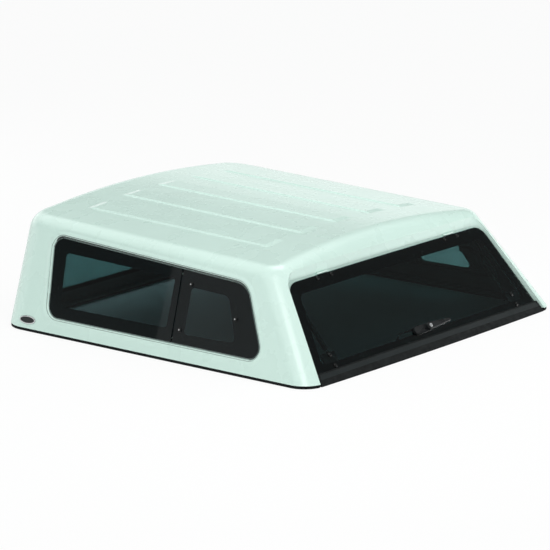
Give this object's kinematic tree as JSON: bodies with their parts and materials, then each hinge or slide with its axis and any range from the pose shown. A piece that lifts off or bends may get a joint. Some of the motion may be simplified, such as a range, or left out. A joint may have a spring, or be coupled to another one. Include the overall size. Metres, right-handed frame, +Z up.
{
  "type": "pickup truck canopy",
  "caption": "Fibreglass canopy shell for a pickup tray with tinted side windows, a ribbed roof and a lift-up glass rear door on gas struts.",
  "frame": {"origin": "middle of the footprint on the plane of the base seal's underside", "axes": "+X to the vehicle's right, +Y forward to the cab, +Z up"},
  "size_m": [1.604, 1.5828, 0.4655],
  "materials": {
    "shell_gelcoat": "gloss",
    "black_rubber": "matt",
    "door_glass": "gloss",
    "tinted_glass": "gloss",
    "black_rail": "satin",
    "stainless": "brushed",
    "lock_chrome": "polished",
    "black_plastic": "satin",
    "strut_black": "satin",
    "strut_rod_steel": "polished",
    "badge_grey": "satin",
    "zinc_steel": "zinc"
  },
  "bodies": {
    "canopy": {"badge_plate": "badge_grey", "base_seal_front": "black_rubber", "base_seal_left": "black_rubber", "base_seal_right": "black_rubber", "front_window_gasket": "black_rubber", "front_window_glass": "tinted_glass", "left_front_pane": "tinted_glass", "left_hinge_fixed_leaf": "stainless", "left_striker": "zinc_steel", "left_strut_bracket": "zinc_steel", "left_vent_hinges": "black_plastic", "left_vent_latch": "black_plastic", "left_vent_pane": "tinted_glass", "left_window_gasket": "black_rubber", "left_window_post": "black_rail", "rear_door_seal": "black_rubber", "right_front_pane": "tinted_glass", "right_hinge_fixed_leaf": "stainless", "right_striker": "zinc_steel", "right_strut_bracket": "zinc_steel", "right_vent_hinges": "black_plastic", "right_vent_latch": "black_plastic", "right_vent_pane": "tinted_glass", "right_window_gasket": "black_rubber", "right_window_post": "black_rail", "shell": "shell_gelcoat"},
    "rear_door": {"rear_door_glass": "door_glass", "rear_door_rail": "black_rail", "rear_door_rail_seal": "black_rubber", "handle_base": "black_plastic", "left_hinge_door_leaf": "stainless", "right_hinge_door_leaf": "stainless", "left_latch_bracket": "zinc_steel", "right_latch_bracket": "zinc_steel"},
    "door_handle": {"handle_lever": "black_plastic", "lock_barrel": "lock_chrome", "lock_cam": "zinc_steel"},
    "left_lock_slide": {"left_lock_rod": "zinc_steel"},
    "left_strut_cylinder": {"left_strut_tube": "strut_black"},
    "left_strut_plunger": {"left_strut_rod": "strut_rod_steel"},
    "right_lock_slide": {"right_lock_rod": "zinc_steel"},
    "right_strut_cylinder": {"right_strut_tube": "strut_black"},
    "right_strut_plunger": {"right_strut_rod": "strut_rod_steel"}
  },
  "joints": [
    {"name": "rear_door_lift", "type": "hinge", "parent": "canopy", "child": "rear_door", "pos_m": [0, -0.5328, 0.3381], "axis": [-1, 0, 0], "range_deg": [0, 60]},
    {"name": "handle_turn", "type": "hinge", "parent": "rear_door", "child": "door_handle", "pos_m": [0, -0.74366, 0.08009], "axis": [0, -0.8131, 0.5821], "range_deg": [0, 70]},
    {"name": "left_lock_rod_slide", "type": "slide", "parent": "rear_door", "child": "left_lock_slide", "axis": [-1, 0, 0], "range_m": [0, 0.02544]},
    {"name": "left_strut_pivot", "type": "hinge", "parent": "canopy", "child": "left_strut_cylinder", "pos_m": [-0.56891, -0.56507, 0.22252], "axis": [-1, 0, 0], "range_deg": [0, 72.62]},
    {"name": "left_strut_slide", "type": "slide", "parent": "left_strut_cylinder", "child": "left_strut_plunger", "axis": [0, -0.6712, -0.7413], "range_m": [0, 0.10783]},
    {"name": "right_lock_rod_slide", "type": "slide", "parent": "rear_door", "child": "right_lock_slide", "axis": [1, 0, 0], "range_m": [0, 0.02544]},
    {"name": "right_strut_pivot", "type": "hinge", "parent": "canopy", "child": "right_strut_cylinder", "pos_m": [0.56891, -0.56507, 0.22252], "axis": [-1, 0, 0], "range_deg": [0, 72.62]},
    {"name": "right_strut_slide", "type": "slide", "parent": "right_strut_cylinder", "child": "right_strut_plunger", "axis": [0, -0.6712, -0.7413], "range_m": [0, 0.10783]}
  ],
  "couplings": [
    {"joint": "left_lock_rod_slide", "follows": "handle_turn", "m_per_rad": 0.020657},
    {"joint": "left_strut_pivot", "follows": "rear_door_lift", "ratio": 1.207},
    {"joint": "left_strut_slide", "follows": "rear_door_lift", "m_per_rad": 0.10249},
    {"joint": "right_lock_rod_slide", "follows": "handle_turn", "m_per_rad": 0.020657},
    {"joint": "right_strut_pivot", "follows": "rear_door_lift", "ratio": 1.207},
    {"joint": "right_strut_slide", "follows": "rear_door_lift", "m_per_rad": 0.10249}
  ]
}
